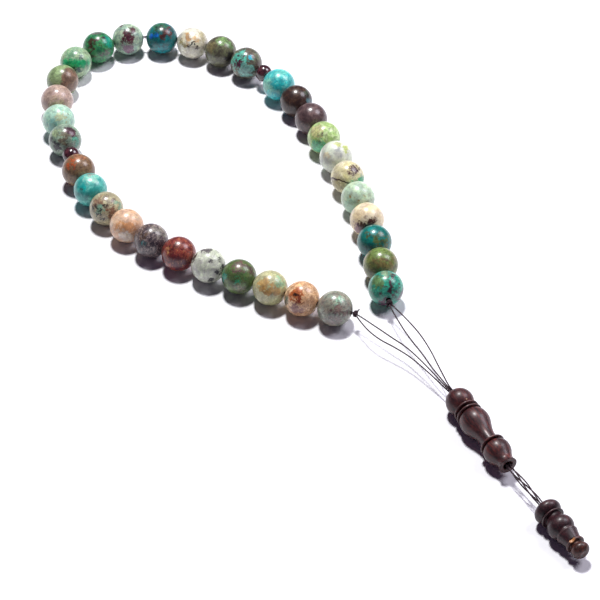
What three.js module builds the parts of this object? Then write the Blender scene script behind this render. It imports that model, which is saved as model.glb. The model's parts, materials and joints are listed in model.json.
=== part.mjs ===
// Misbaha: thirty-three round stone beads in three elevens on a doubled cord, with two small
// separators, a turned wooden imame, and a turned end drop in two pieces that hides the last knot.
// Millimetres, +Z up. The string lies on a flat surface with the end drop towards -Y.
import * as THREE from 'three';

// ---- driving dimensions -------------------------------------------------------------------
const BEAD_D = 10;            // stone bead
const SEPARATOR_D = 5.3;      // small dark bead between the elevens
const BEADS_PER_GROUP = 11;
const GROUPS = 3;
const CORD_D = 0.4;           // one strand of the twisted cord
const KNOT_D = 2.1;           // overhand knot against the end beads
const DROP_KNOT_D = 2.7;      // last knot, hidden in the end drop

const BEAD_GAP = 0.1;         // between two pieces strung side by side
const BEND_GAP = 0.25;        // as much more round the far bend
const BEND_FROM = 12;         // first and last bead with that gap after them
const BEND_TO = 19;
const OPEN_GAP = 0.9;         // as much more where the string has drawn open
const OPEN_AFTER = 15;        // the bead before that place
const FIT_GAP = 0.3;          // between a cord and what it runs into
const STRAND_PITCH = 0.7;     // between the strands side by side in a wooden bore
const PLUG_CLEARANCE = 0.1;   // around the plug's spigot, on the radius
const SEAM_GAP = 0.12;        // between the drop's body and its plug

const IMAME_D = 8.1;          // widest turn of the imame
const IMAME_LENGTH = 30;
const DROP_D = 7.4;           // widest turn of the end drop
const DROP_LENGTH = 19.2;
const UPPER_STRAND = 38.3;    // from the end knots to the imame's mouth, along Y
const LOWER_STRAND = 16;      // from the imame's foot to the drop's mouth, along Y
const DROP_YAW = 2.8;         // degrees that the drop lies askew of the imame
const DROP_SIDE = 1.1;        // how far the drop's mouth lies to the side of the imame's axis

const BEAD_SIDES = 14;
const BEAD_ARCS = 7;
const TURNED_SIDES = 20;

// ---- sizes that follow --------------------------------------------------------------------
const cordPair = CORD_D + 0.2;                            // the two cords lie one over the other
const beadBore = cordPair / 2 + CORD_D / 2 + 0.16;        // radius
const strandReach = STRAND_PITCH / Math.SQRT2 + CORD_D / 2;
const woodBore = strandReach + 0.4;                       // radius, through imame and drop
const knotStep = FIT_GAP + KNOT_D / 2;                    // from the cord's end to the knot's middle
const mouthY = IMAME_LENGTH * 0.128;                      // the imame's mouth
const footY = mouthY - IMAME_LENGTH;                      // the imame's foot
const loopY = mouthY + UPPER_STRAND + knotStep;
const beadZ = BEAD_D / 2;
const imameZ = IMAME_D / 2;
const dropZ = DROP_D / 2;
const rad = THREE.MathUtils.degToRad;

// ---- materials ----------------------------------------------------------------------------
const stone = (hex) => new THREE.MeshStandardMaterial({ color: hex, roughness: 0.16, metalness: 0 });
const wood = (hex) => new THREE.MeshStandardMaterial({ color: hex, roughness: 0.38, metalness: 0 });
const yarn = () => new THREE.MeshStandardMaterial({ color: '#3a2427', roughness: 0.8, metalness: 0 });

// The stones are cut from mixed turquoise, so each has its own ground colour.
const STONE_COLOURS = [
  '#2f8f84', '#5d6b2c', '#1f6f6d', '#d9cfae', '#bfe0cd', '#cfd49a', '#c3ccb8', '#9cc63f',
  '#3d3a35', '#33302a', '#37b7c3', '#5f3a40', '#6f6b35', '#dccca4', '#1f6b6b', '#b5dccb',
  '#4f8a4b', '#a6dcc6', '#8c9a5e', '#a79a90', '#b4d8c4', '#8f9c76', '#6f5a37', '#3aa7a3',
  '#b7bb98', '#d9a07c', '#3b3c3c', '#5a2f24', '#a9b79b', '#31502f', '#b89a66', '#d08a5c',
  '#7f8f74',
];

const misbaha = new THREE.Group();

function add(name, geometry, material, parent = misbaha) {
  const mesh = new THREE.Mesh(geometry, material);
  mesh.name = name;
  parent.add(mesh);
  return mesh;
}

// ---- a solid of revolution, its profile closed, its axis turned from +Y to -Y ---------------
// Profiles hold [distance from the mouth, radius] and the distance runs along -Y.
function turned(profile, sides) {
  const points = profile.map(([s, r]) => new THREE.Vector2(r, -s)).reverse();
  if (points[0].x > 0) points.push(points[0].clone());
  return new THREE.LatheGeometry(points, sides, Math.PI / sides);
}

// Points on an ellipse about [centre, 0], from the place where it has radius r0 on its near side
// to the place where it has radius r1 on its far side.
function swell(centre, along, radius, r0, r1, steps) {
  const from = Math.acos(-Math.sqrt(1 - (r0 / radius) ** 2));
  const to = Math.acos(Math.sqrt(1 - (r1 / radius) ** 2));
  const points = [];
  for (let i = 0; i <= steps; i += 1) {
    const a = from + ((to - from) * i) / steps;
    points.push([centre + along * Math.cos(a), radius * Math.sin(a)]);
  }
  return points;
}

// A thin turned ring: a disc with a slightly rounded rim.
function ring(start, width, radius, foot) {
  return [
    [start, foot],
    [start, radius * 0.95],
    [start + width * 0.5, radius],
    [start + width, radius * 0.95],
    [start + width, foot],
  ];
}

// ---- the beads on their cord ----------------------------------------------------------------
// The way the loop lies, hand placed: [x, y] from the first bead's knot round to the last bead's.
const LOOP_ROUTE = [
  [0, 0], [8, 24.5], [12.5, 44], [16, 74], [16.5, 93.5], [13.5, 111.5], [6, 128.5],
  [-5, 141.4], [-18.4, 148.3], [-28.6, 147.7], [-38.4, 143.2], [-50.2, 126.6], [-54.5, 107.5],
  [-56.5, 82], [-53, 62], [-44.5, 44.5], [-32.8, 27.5], [-21, 11], [-11.5, 0],
];
const LOOP_SIDE = 1;          // how far its start lies to the side of the imame's axis

const strung = [];
for (let g = 0; g < GROUPS; g += 1) {
  for (let i = 0; i < BEADS_PER_GROUP; i += 1) {
    const n = g * BEADS_PER_GROUP + i;
    let open = n + 1 >= BEND_FROM && n + 1 <= BEND_TO ? BEND_GAP : 0;
    if (n + 1 === OPEN_AFTER) open = OPEN_GAP;
    const name = `bead_${String(n + 1).padStart(2, '0')}`;
    strung.push({ name, size: BEAD_D, stone: n, open });
  }
  if (g < GROUPS - 1) {
    strung.push({ name: `separator_${g + 1}`, size: SEPARATOR_D, stone: -1, open: 0 });
  }
}

// Steps along the route by the length of each piece and returns the points between the pieces,
// and how much of the route is left over.
function stringAlong(route) {
  const between = [route.getPointAt(0)];
  let u = 0;
  for (const piece of strung) {
    const last = between[between.length - 1];
    const chord = piece.size + BEAD_GAP + piece.open;
    let low = u;
    let high = Math.min(1, u + (1.5 * chord) / route.getLength());
    if (route.getPointAt(high).distanceTo(last) < chord) return { between, left: -1 };
    for (let k = 0; k < 40; k += 1) {
      const middle = (low + high) / 2;
      if (route.getPointAt(middle).distanceTo(last) < chord) low = middle;
      else high = middle;
    }
    u = high;
    between.push(route.getPointAt(u));
  }
  return { between, left: 1 - u };
}

function loopRoute(scale) {
  const points = LOOP_ROUTE.map(([x, y]) => new THREE.Vector3(
    LOOP_SIDE + x * scale, loopY + y * scale, beadZ,
  ));
  const route = new THREE.CatmullRomCurve3(points, false, 'centripetal');
  route.arcLengthDivisions = 800;
  return route;
}

// The loop is made just long enough for its beads.
let tight = 0.4;
let loose = 2.5;
for (let k = 0; k < 36; k += 1) {
  const scale = (tight + loose) / 2;
  if (stringAlong(loopRoute(scale)).left < 0) tight = scale;
  else loose = scale;
}
const { between } = stringAlong(loopRoute(loose));

// A round bead with its bore along Y. The bore's mouths are cut where the ball has that radius,
// and the band round its middle stands at the full radius.
function beadGeometry(size) {
  const r = size / 2;
  const arc = (Math.PI - 2 * Math.asin(beadBore / r)) / BEAD_ARCS;
  const profile = swell(r, r, r / Math.cos(arc / 2), beadBore, beadBore, BEAD_ARCS);
  return turned(profile, BEAD_SIDES);
}

strung.forEach((piece, i) => {
  const a = between[i];
  const b = between[i + 1];
  const along = b.clone().sub(a).normalize();
  const colour = piece.stone < 0 ? '#3b1f22' : STONE_COLOURS[piece.stone % STONE_COLOURS.length];
  const mesh = add(piece.name, beadGeometry(piece.size), stone(colour));
  mesh.rotation.z = Math.atan2(along.x, -along.y);
  mesh.position.copy(a).addScaledVector(along, BEAD_GAP / 2);
});

// ---- cords ------------------------------------------------------------------------------------
// Straight from point to point, so that a cord lies straight in each bore and turns between beads.
class Straights extends THREE.Curve {
  constructor(points) {
    super();
    this.points = points;
  }

  getPoint(t, target = new THREE.Vector3()) {
    const last = this.points.length - 1;
    const at = Math.min(t * last, last);
    const i = Math.min(Math.floor(at), last - 1);
    return target.lerpVectors(this.points[i], this.points[i + 1], at - i);
  }

  getUtoTmapping(u) {
    return u;
  }
}

function roundSection(d) {
  const section = new THREE.Shape();
  section.absarc(0, 0, d / 2, 0, Math.PI * 2, false);
  return section;
}

function cord(name, path, steps, d = CORD_D) {
  const geometry = new THREE.ExtrudeGeometry(roundSection(d), {
    extrudePath: path, steps, curveSegments: 4, bevelEnabled: false,
  });
  return add(name, geometry, yarn());
}

[['upper', cordPair / 2], ['lower', -cordPair / 2]].forEach(([side, rise]) => {
  const points = between.map((p) => p.clone().setZ(p.z + rise));
  cord(`loop_cord_${side}`, new Straights(points), points.length - 1);
});

// ---- end knots ----------------------------------------------------------------------------------
function knot(name, d, centre, along) {
  const r = d / 2;
  const mesh = add(name, turned(swell(r, r, r, 0, 0, 6), 10), yarn());
  mesh.rotation.z = Math.atan2(along.x, -along.y);
  mesh.position.copy(centre).addScaledVector(along, -r);
  return mesh;
}

const first = between[0];
const last = between[between.length - 1];
const awayFirst = first.clone().sub(between[1]).normalize();
const awayLast = last.clone().sub(between[between.length - 2]).normalize();
const knotRight = first.clone().addScaledVector(awayFirst, knotStep);
const knotLeft = last.clone().addScaledVector(awayLast, knotStep);
knot('knot_right', KNOT_D, knotRight, awayFirst);
knot('knot_left', KNOT_D, knotLeft, awayLast);

// ---- imame ----------------------------------------------------------------------------------------
// Distances from the mouth, as shares of the length, and radii, as shares of the widest turn.
const il = IMAME_LENGTH / 30;
const ir = IMAME_D / 8.1;
const HEAD_R = 3.85 * ir;
const headHalf = 3.85 * il;
const footR = 2.6 * ir;
const footMouth = woodBore + 0.35;
const imameProfile = [
  ...swell(headHalf, headHalf, HEAD_R, woodBore + 0.15, 2.45 * ir, 9),
  ...ring(7.2 * il, 0.6 * il, 3.62 * ir, 2.45 * ir),
  [8.15 * il, 2.75 * ir],
  ...ring(8.75 * il, 0.6 * il, 3.72 * ir, 2.85 * ir),
  [9.6 * il, 3.0 * ir],
  [10.0 * il, 3.5 * ir],
  [10.9 * il, 3.88 * ir],
  [12.3 * il, 4.05 * ir],
  [13.6 * il, 3.9 * ir],
  [15.1 * il, 3.38 * ir],
  [16.6 * il, 2.82 * ir],
  [18.2 * il, 2.42 * ir],
  [20.9 * il, 2.2 * ir],
  ...ring(21.3 * il, 0.65 * il, 3.5 * ir, 2.3 * ir),
  [22.2 * il, 2.65 * ir],
  [22.7 * il, 3.3 * ir],
  [24.2 * il, 3.72 * ir],
  [25.6 * il, 3.5 * ir],
  [27.2 * il, 2.75 * ir],
  [28.5 * il, 2.32 * ir],
  [29.2 * il, 2.38 * ir],
  [IMAME_LENGTH, footR],
  [IMAME_LENGTH, footMouth],
  [IMAME_LENGTH - 1, woodBore],
  [0.35 * il, woodBore],
];
const imame = add('imame', turned(imameProfile, TURNED_SIDES), wood('#3a2320'));
imame.position.set(0, mouthY, imameZ);

// ---- end drop ---------------------------------------------------------------------------------------
const dl = DROP_LENGTH / 19.2;
const dr = DROP_D / 7.4;
const cavityR = DROP_KNOT_D / 2 + 0.3;      // the last knot turns freely in here
const shoulder = 6.1 * dl;                  // where the mouth's bore opens into the cavity
const seam = 14.5 * dl;                     // where the plug's ring meets the body
const dropBodyProfile = [
  ...swell(2.4 * dl, 2.4 * dl, 3.7 * dr, woodBore + 0.15, 2.45 * dr, 8),
  ...ring(4.5 * dl, 0.55 * dl, 3.25 * dr, 2.45 * dr),
  [6.0 * dl, 2.45 * dr],
  ...swell(8.5 * dl, 3.1 * dl, 3.55 * dr, 2.55 * dr, 2.6 * dr, 7),
  [11.15 * dl, 2.6 * dr],
  [11.2 * dl, 2.92 * dr],
  [11.4 * dl, 3.0 * dr],
  [11.7 * dl, 2.92 * dr],
  [13.9 * dl, 2.3 * dr],
  [seam, 2.2 * dr],
  [seam, cavityR],
  [shoulder, cavityR],
  [shoulder - 0.5 * dl, woodBore],
  [0.15 * dl, woodBore],
];
const spigotR = cavityR - PLUG_CLEARANCE;
const spigotLength = 4 * dl;
const plugTop = seam + SEAM_GAP;
const plugProfile = [
  [seam - spigotLength, 0],
  [seam - spigotLength, spigotR - 0.2],
  [seam - spigotLength + 0.2, spigotR],
  [plugTop, spigotR],
  [plugTop, 2.45 * dr],
  [plugTop + 0.35 * dl, 2.6 * dr],
  [plugTop + 0.75 * dl, 2.45 * dr],
  [plugTop + 0.8 * dl, 1.75 * dr],
  ...swell(DROP_LENGTH - 1.85 * dl, 1.8 * dl, 2.45 * dr, 1.8 * dr, 1.15 * dr, 8),
  [DROP_LENGTH - 0.35 * dl, 0],
];
const drop = new THREE.Group();
drop.position.set(DROP_SIDE, footY - LOWER_STRAND, dropZ);
drop.rotation.z = rad(DROP_YAW);
misbaha.add(drop);
add('drop_body', turned(dropBodyProfile, TURNED_SIDES), wood('#2e1d1c'), drop);
add('drop_plug', turned(plugProfile, TURNED_SIDES), wood('#48291f'), drop);
drop.updateMatrixWorld(true);
const inDrop = (x, s, z) => new THREE.Vector3(x, -s, z).applyMatrix4(drop.matrixWorld);

const dropKnotTop = shoulder + 0.15;
const dropAlong = inDrop(0, 1, 0).sub(inDrop(0, 0, 0)).normalize();
knot('drop_knot', DROP_KNOT_D, inDrop(0, dropKnotTop + DROP_KNOT_D / 2, 0), dropAlong);

// ---- the four strands -----------------------------------------------------------------------------
// Each upper strand bows from its knot to the imame's mouth: [x, y] for a mouth at the origin.
const half = STRAND_PITCH / 2;
const UPPER_ROUTES = {
  left_outer: { from: knotLeft, side: -half, rise: half, leave: [0.42, -0.91],
    way: [[-6.6, 30.2], [-5.1, 25.8], [-3.3, 20.6], [-2.2, 14.8], [-1.4, 8.5], [-0.75, 2.4]] },
  left_inner: { from: knotLeft, side: -half, rise: -half, leave: [-0.12, -0.99],
    way: [[-9.6, 31.4], [-8.3, 26.7], [-6.2, 22.4], [-4.2, 17.6], [-2.5, 11], [-0.85, 2.4]] },
  right_outer: { from: knotRight, side: half, rise: half, leave: [0.25, -0.97],
    way: [[2, 29.8], [2.4, 23.5], [2, 16.6], [1.3, 11.6], [0.6, 6.5], [0.15, 2.4]] },
  right_inner: { from: knotRight, side: half, rise: -half, leave: [-0.3, -0.95],
    way: [[-0.6, 28.3], [-0.7, 22.5], [-0.5, 17], [-0.5, 11], [-0.25, 6.5], [0.05, 2.4]] },
};
const upperEnd = 3 * il;              // how far into the mouth an upper strand is drawn
const lowerStart = upperEnd + FIT_GAP;
const knotClear = KNOT_D / 2 + FIT_GAP;

for (const [name, route] of Object.entries(UPPER_ROUTES)) {
  const [dx, dy] = route.leave;
  const start = route.from.clone().add(new THREE.Vector3(dx * knotClear, dy * knotClear, 0));
  const stretch = UPPER_STRAND / 38.3;
  const points = [start];
  for (const [x, y] of route.way) {
    const share = 1 - y / 38.3;
    const z = THREE.MathUtils.lerp(beadZ, imameZ + route.rise, share ** 1.5);
    points.push(new THREE.Vector3(x, mouthY + y * stretch, z));
  }
  points.push(new THREE.Vector3(route.side, mouthY - 0.6, imameZ + route.rise));
  points.push(new THREE.Vector3(route.side, mouthY - upperEnd, imameZ + route.rise));
  const path = new THREE.CatmullRomCurve3(points, false, 'centripetal');
  cord(`upper_strand_${name}`, path, 16);
}

// Each lower strand runs straight down the imame's bore and out of its foot, and the four turn
// loosely about one another on their way into the drop.
const LOWER_TWIST = 180;      // degrees from the imame's foot to the drop's mouth
const LOWER_SPREAD = 0.45;    // how much further apart they lie half-way
for (const [name, { side, rise }] of Object.entries(UPPER_ROUTES)) {
  const reach = Math.hypot(side, rise);
  const start = Math.atan2(rise, side);
  const offset = (t) => {
    const a = start + rad(LOWER_TWIST) * t;
    const r = reach * (1 + LOWER_SPREAD * Math.sin(Math.PI * t));
    return [r * Math.cos(a), r * Math.sin(a)];
  };
  const points = [mouthY - lowerStart, mouthY - IMAME_LENGTH * 0.55, footY + 0.6].map(
    (y) => new THREE.Vector3(side, y, imameZ + rise),
  );
  for (const t of [0.25, 0.5, 0.75]) {
    const [x, z] = offset(t);
    points.push(new THREE.Vector3(
      x + DROP_SIDE * t, footY - LOWER_STRAND * t, THREE.MathUtils.lerp(imameZ, dropZ, t) + z,
    ));
  }
  const [x, z] = offset(1);
  points.push(inDrop(x, 0.3, z), inDrop(x, dropKnotTop - 1.8, z));
  points.push(inDrop(x * 0.9, dropKnotTop - FIT_GAP * 0.5, z * 0.9));
  const path = new THREE.CatmullRomCurve3(points, false, 'centripetal');
  cord(`lower_strand_${name}`, path, 22);
}

// ---- the origin is under the middle of the whole, on the surface it lies on ---------------------
const box = new THREE.Box3().setFromObject(misbaha);
const middle = box.getCenter(new THREE.Vector3());
misbaha.position.set(-middle.x, -middle.y, -box.min.z);
misbaha.name = 'misbaha';

export default misbaha;
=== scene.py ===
"""Misbaha: thirty-three polished stone beads in three elevens on a doubled cord, two small
separators, a turned wooden imame and a turned end drop, laid on a pale table."""
import json
import math
import random

import bmesh
import bpy
from mathutils import Matrix, Vector


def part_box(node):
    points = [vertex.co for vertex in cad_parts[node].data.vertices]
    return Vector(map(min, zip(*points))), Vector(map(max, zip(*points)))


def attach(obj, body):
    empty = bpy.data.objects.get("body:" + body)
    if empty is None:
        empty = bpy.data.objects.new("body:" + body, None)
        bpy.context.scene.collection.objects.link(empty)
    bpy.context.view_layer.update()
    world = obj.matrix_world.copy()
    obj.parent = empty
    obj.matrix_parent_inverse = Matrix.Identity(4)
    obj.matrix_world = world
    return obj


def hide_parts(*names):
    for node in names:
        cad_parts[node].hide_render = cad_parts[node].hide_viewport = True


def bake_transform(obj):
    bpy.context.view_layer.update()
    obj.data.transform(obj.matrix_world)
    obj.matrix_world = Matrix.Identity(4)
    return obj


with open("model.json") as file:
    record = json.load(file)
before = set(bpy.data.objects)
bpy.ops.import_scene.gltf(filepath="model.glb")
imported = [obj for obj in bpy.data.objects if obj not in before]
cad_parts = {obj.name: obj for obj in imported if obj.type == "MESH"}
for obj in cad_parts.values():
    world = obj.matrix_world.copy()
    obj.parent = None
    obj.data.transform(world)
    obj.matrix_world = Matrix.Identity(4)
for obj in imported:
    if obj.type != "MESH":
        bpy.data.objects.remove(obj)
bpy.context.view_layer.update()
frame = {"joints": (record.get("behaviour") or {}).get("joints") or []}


# ==== Loop cord ===============================================================================
# One waxed two-ply polyester cord, doubled, runs through every bead from the right knot round
# to the left one. It shows only in the narrow gaps between the beads.
CORD_WIDTH = 0.00043
CORD_LAY = 0.0015             # one full turn of the two plies
PLY_WIDTH = 0.00035
CORD_PAIR = 0.0006            # between the two cords inside a bead
INTO_KNOT = 0.0008
LOOP_STEP = CORD_LAY / 7      # from point to point of a loop cord's line
BEAD_HALF = 0.0050
SEPARATOR_HALF = 0.00265
MM = 0.001


def smooth_line(points, step):
    """A line through the points, rounded the way a soft cord lies, with a point every step."""
    points = [Vector(p) for p in points]
    points = [2 * points[0] - points[1], *points, 2 * points[-1] - points[-2]]
    line = []
    for a, b, c, d in zip(points, points[1:], points[2:], points[3:]):
        ends = [0.0]
        for p, q in ((a, b), (b, c), (c, d)):
            ends.append(ends[-1] + math.sqrt((q - p).length))
        t0, t1, t2, t3 = ends
        pieces = max(2, round((c - b).length / step))
        for i in range(pieces):
            t = t1 + (t2 - t1) * i / pieces
            ab = a.lerp(b, (t - t0) / (t1 - t0))
            bc = b.lerp(c, (t - t1) / (t2 - t1))
            cd = c.lerp(d, (t - t2) / (t3 - t2))
            near = ab.lerp(bc, (t - t0) / (t2 - t0))
            far = bc.lerp(cd, (t - t1) / (t3 - t1))
            line.append(near.lerp(far, (t - t1) / (t2 - t1)))
    line.append(points[-2])
    return line


def lay_plies(curve, line):
    """Winds two plies round a line, as two splines of a round curve."""
    along = [(q - p).normalized() for p, q in zip(line, line[1:])]
    along.append(along[-1])
    side = along[0].cross(Vector((0.13, 0.21, 0.97))).normalized()
    gone, laid = 0.0, [[], []]
    for i, (point, way) in enumerate(zip(line, along)):
        side = (side - way * side.dot(way)).normalized()
        if i:
            gone += (point - line[i - 1]).length
        turn = 2 * math.pi * gone / CORD_LAY
        for k in range(2):
            a = turn + k * math.pi
            out = side * math.cos(a) + way.cross(side) * math.sin(a)
            laid[k].append(point + out * (CORD_WIDTH - PLY_WIDTH) / 2)
    for ply in laid:
        spline = curve.splines.new("POLY")
        spline.points.add(len(ply) - 1)
        for point, place in zip(spline.points, ply):
            point.co = (*place, 1)


def cord_piece(name, lines):
    """A mesh of twisted cord along each of the lines."""
    curve = bpy.data.curves.new(name + "_line", "CURVE")
    curve.dimensions = "3D"
    curve.bevel_depth = PLY_WIDTH / 2
    curve.bevel_resolution = 1
    curve.use_fill_caps = True
    for line in lines:
        lay_plies(curve, line)
    maker = bpy.data.objects.new(name + "_line", curve)
    mesh = bpy.data.meshes.new_from_object(maker)
    bpy.data.objects.remove(maker)
    bpy.data.curves.remove(curve)
    mesh.name = name
    mesh.materials.clear()
    mesh.materials.append(cord_finish)
    for face in mesh.polygons:
        face.use_smooth = True
    piece = bpy.data.objects.new(name, mesh)
    bpy.context.scene.collection.objects.link(piece)
    return piece


class Socket:
    """An output of one of a finish's nodes, on which arithmetic can be written."""

    def __init__(self, finish, output):
        self.finish, self.output = finish, output

    def join(self, operation, first, second=0.0):
        whole = self.output.type == "VALUE"
        kind = "ShaderNodeMath" if whole else "ShaderNodeVectorMath"
        return self.finish.node(kind, {"operation": operation}, {0: first, 1: second})

    def __add__(self, other):
        return self.join("ADD", self, other)

    def __sub__(self, other):
        return self.join("SUBTRACT", self, other)

    def __rsub__(self, other):
        return self.join("SUBTRACT", other, self)

    def __mul__(self, other):
        return self.join("MULTIPLY", self, other)

    def __abs__(self):
        return self.join("ABSOLUTE", self)

    __radd__ = __add__


class Finish:
    """A material: one Principled shader and the nodes that drive it."""

    def __init__(self, name, **constants):
        self.material = bpy.data.materials.new(name)
        self.material.use_nodes = True
        self.tree = self.material.node_tree
        self.shader = self.tree.nodes["Principled BSDF"]
        for socket, value in constants.items():
            self.shader.inputs[socket.replace("_", " ")].default_value = value

    def node(self, kind, settings, values, output=0):
        node = self.tree.nodes.new(kind)
        for name, value in settings.items():
            setattr(node, name, value)
        for name, value in values.items():
            self.put(node.inputs[name], value)
        return Socket(self, node.outputs[output])

    def put(self, socket, value):
        if isinstance(value, Socket):
            self.tree.links.new(value.output, socket)
        elif socket.type == "RGBA":
            socket.default_value = (*value[:3], 1)
        elif socket.type == "VECTOR" and isinstance(value, (int, float)):
            socket.default_value = (value,) * 3
        else:
            socket.default_value = value

    def drive(self, name, value):
        self.put(self.shader.inputs[name], value)

    def noise(self, place, scale, detail, roughness=0.55, output=0):
        values = {"Vector": place, "Scale": scale, "Detail": detail, "Roughness": roughness}
        return self.node("ShaderNodeTexNoise", {}, values, output)

    def fade(self, value, low, high):
        """0 below low and 1 above high, with a soft step between."""
        values = {"Value": value, "From Min": low, "From Max": high}
        return self.node("ShaderNodeMapRange", {"interpolation_type": "SMOOTHSTEP"}, values)

    def mix(self, share, first, second, blend="MIX"):
        settings = {"data_type": "RGBA", "blend_type": blend}
        return self.node("ShaderNodeMix", settings, {0: share, 6: first, 7: second}, 2)

    def bump(self, height, depth, strength):
        values = {"Height": height, "Distance": depth, "Strength": strength}
        self.drive("Normal", self.node("ShaderNodeBump", {}, values))


def tint(code):
    """A colour as it is written on a dye card, six hexadecimal digits."""
    parts = [int(code[i:i + 2], 16) / 255 for i in (0, 2, 4)]
    return tuple(((c + 0.055) / 1.055) ** 2.4 if c > 0.04045 else c / 12.92 for c in parts)


def make_cord_finish():
    finish = Finish("cord_finish", IOR=1.38)
    place = finish.node("ShaderNodeTexCoord", {}, {}, "Object")
    fibre = finish.noise(place, 5200, 3, 0.7)
    patch = finish.noise(place, 420, 2)
    tone = finish.mix(finish.fade(fibre, 0.35, 0.75), tint("26151c"), tint("543f48"))
    tone = finish.mix(finish.fade(patch, 0.45, 0.75) * 0.5, tone, tint("1a0f14"))
    worn = finish.fade(fibre, 0.62, 0.7) * finish.fade(patch, 0.5, 0.42)
    tone = finish.mix(worn * 0.7, tone, tint("a08c8c"))
    finish.drive("Base Color", tone)
    finish.drive("Roughness", 0.55 + fibre * 0.3)
    finish.bump(fibre, 0.00003, 0.6)
    return finish.material


cord_finish = make_cord_finish()

strung = [f"bead_{n:02d}" for n in range(1, 12)] + ["separator_1"]
strung += [f"bead_{n:02d}" for n in range(12, 23)] + ["separator_2"]
strung += [f"bead_{n:02d}" for n in range(23, 34)]
turning = {j["child"]: j for j in frame["joints"]}


def bead_place(node):
    """The middle of a bead and the way its bore runs."""
    low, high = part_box(node)
    way = Vector(turning[node]["axis"]).normalized()
    return (low + high) / 2, way


places = {name: bead_place(name) for name in strung}
# Every way is turned to run from the right knot's end of the string to the left's.
for name, (centre, way) in places.items():
    i = strung.index(name)
    ahead = places[strung[min(i + 1, len(strung) - 1)]][0]
    behind = places[strung[max(i - 1, 0)]][0]
    if way.dot(ahead - behind) < 0:
        places[name] = (centre, -way)

loop_points = []
for name in strung:
    centre, way = places[name]
    half = BEAD_HALF if name.startswith("bead") else SEPARATOR_HALF
    loop_points += [centre - way * half, centre + way * half]
first_way, last_way = places[strung[0]][1], places[strung[-1]][1]
loop_points[0] = loop_points[0] - first_way * INTO_KNOT
loop_points[-1] = loop_points[-1] + last_way * INTO_KNOT
for side, rise in (("upper", CORD_PAIR / 2), ("lower", -CORD_PAIR / 2)):
    line = smooth_line([p + Vector((0, 0, rise)) for p in loop_points], LOOP_STEP)
    name = f"loop_cord_{side}"
    piece = cord_piece("beading_cord_" + side, [line])
    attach(piece, "cord")
    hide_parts(name)


# ==== End knots ===============================================================================
# The doubled cord is tied in an overhand knot hard against the first and the last bead. The
# tails are cut short and stand out from the knot.
KNOT_TURN = 0.00058
KNOT_SWELL = 0.00026
KNOT_RISE = 1.5 * KNOT_SWELL  # of the turns over and under one another
KNOT_TIGHT = 0.00025          # drawn up to the bead
KNOT_STEPS = 72
TAIL_ROOT = 0.0002            # from the knot's middle to where a tail begins
TAIL_BEND = 0.6               # share of the tail at which it is bent up
TAIL_LIFT = 0.0001
TAIL_STEP = 0.0002


def knot_line(centre, along, grow, turned=0.0):
    """An overhand knot's three crossings, round the way that the cord runs."""
    seat = along.to_track_quat("Z", "Y").to_matrix()
    line = []
    for i in range(KNOT_STEPS + 1):
        a = 2 * math.pi * i / KNOT_STEPS
        out = (KNOT_TURN + KNOT_SWELL * math.cos(3 * a)) * grow
        spot = Vector((
            out * math.cos(2 * a + turned), out * math.sin(2 * a + turned),
            -KNOT_RISE * grow * math.sin(3 * a),
        ))
        line.append(centre + seat @ spot)
    return line


def tie_knot(name, node, centre, along, tails, grow=1.0):
    lines = [knot_line(centre, along, grow, turned) for turned in (0.0, math.pi / 3)]
    for way, reach in tails:
        way = Vector(way).normalized()
        start = centre + way * TAIL_ROOT
        bend = centre + way * reach * TAIL_BEND + Vector((0, 0, TAIL_LIFT))
        lines.append(smooth_line([start, bend, centre + way * reach], TAIL_STEP))
    piece = cord_piece(name, lines)
    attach(piece, "cord")
    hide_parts(node)


def middle(node):
    low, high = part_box(node)
    return (low + high) / 2


right_knot = middle("knot_right") + first_way * KNOT_TIGHT
left_knot = middle("knot_left") - last_way * KNOT_TIGHT
tie_knot("end_knot_right", "knot_right", right_knot, first_way,
         [((0.15, -0.5, 0.8), 0.00155), ((-0.7, -0.4, -0.5), 0.0014)])
tie_knot("end_knot_left", "knot_left", left_knot, last_way,
         [((0.95, 0.25, 0.55), 0.0017), ((-0.4, -0.6, 0.5), 0.0013)])


# ==== Stone beads =============================================================================
# Thirty-three round beads of mixed turquoise and its host rock, each one different. Each is
# ground round, drilled through, countersunk a little at both mouths and polished to a gloss.
BEAD_WIDTH = 2 * BEAD_HALF
BORE = 0.00066
MOUTH = 0.00095
SINK = 0.9                    # the countersink's depth for each unit of its width
LIP = 0.25                    # share of the countersink at which its edge is broken
BEAD_ARCS = 40
BEAD_SIDES = 80
MERGE = 1e-7
SHARP = math.radians(38)
# The ways across, up and out of a stone's face, by which its patches are placed.
RIGHT = Vector((0.9015, -0.4325, -0.0172))
UP = Vector((0.3023, 0.6006, 0.7402))
TOWARDS = Vector((-0.3098, -0.6724, 0.6722))


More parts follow.
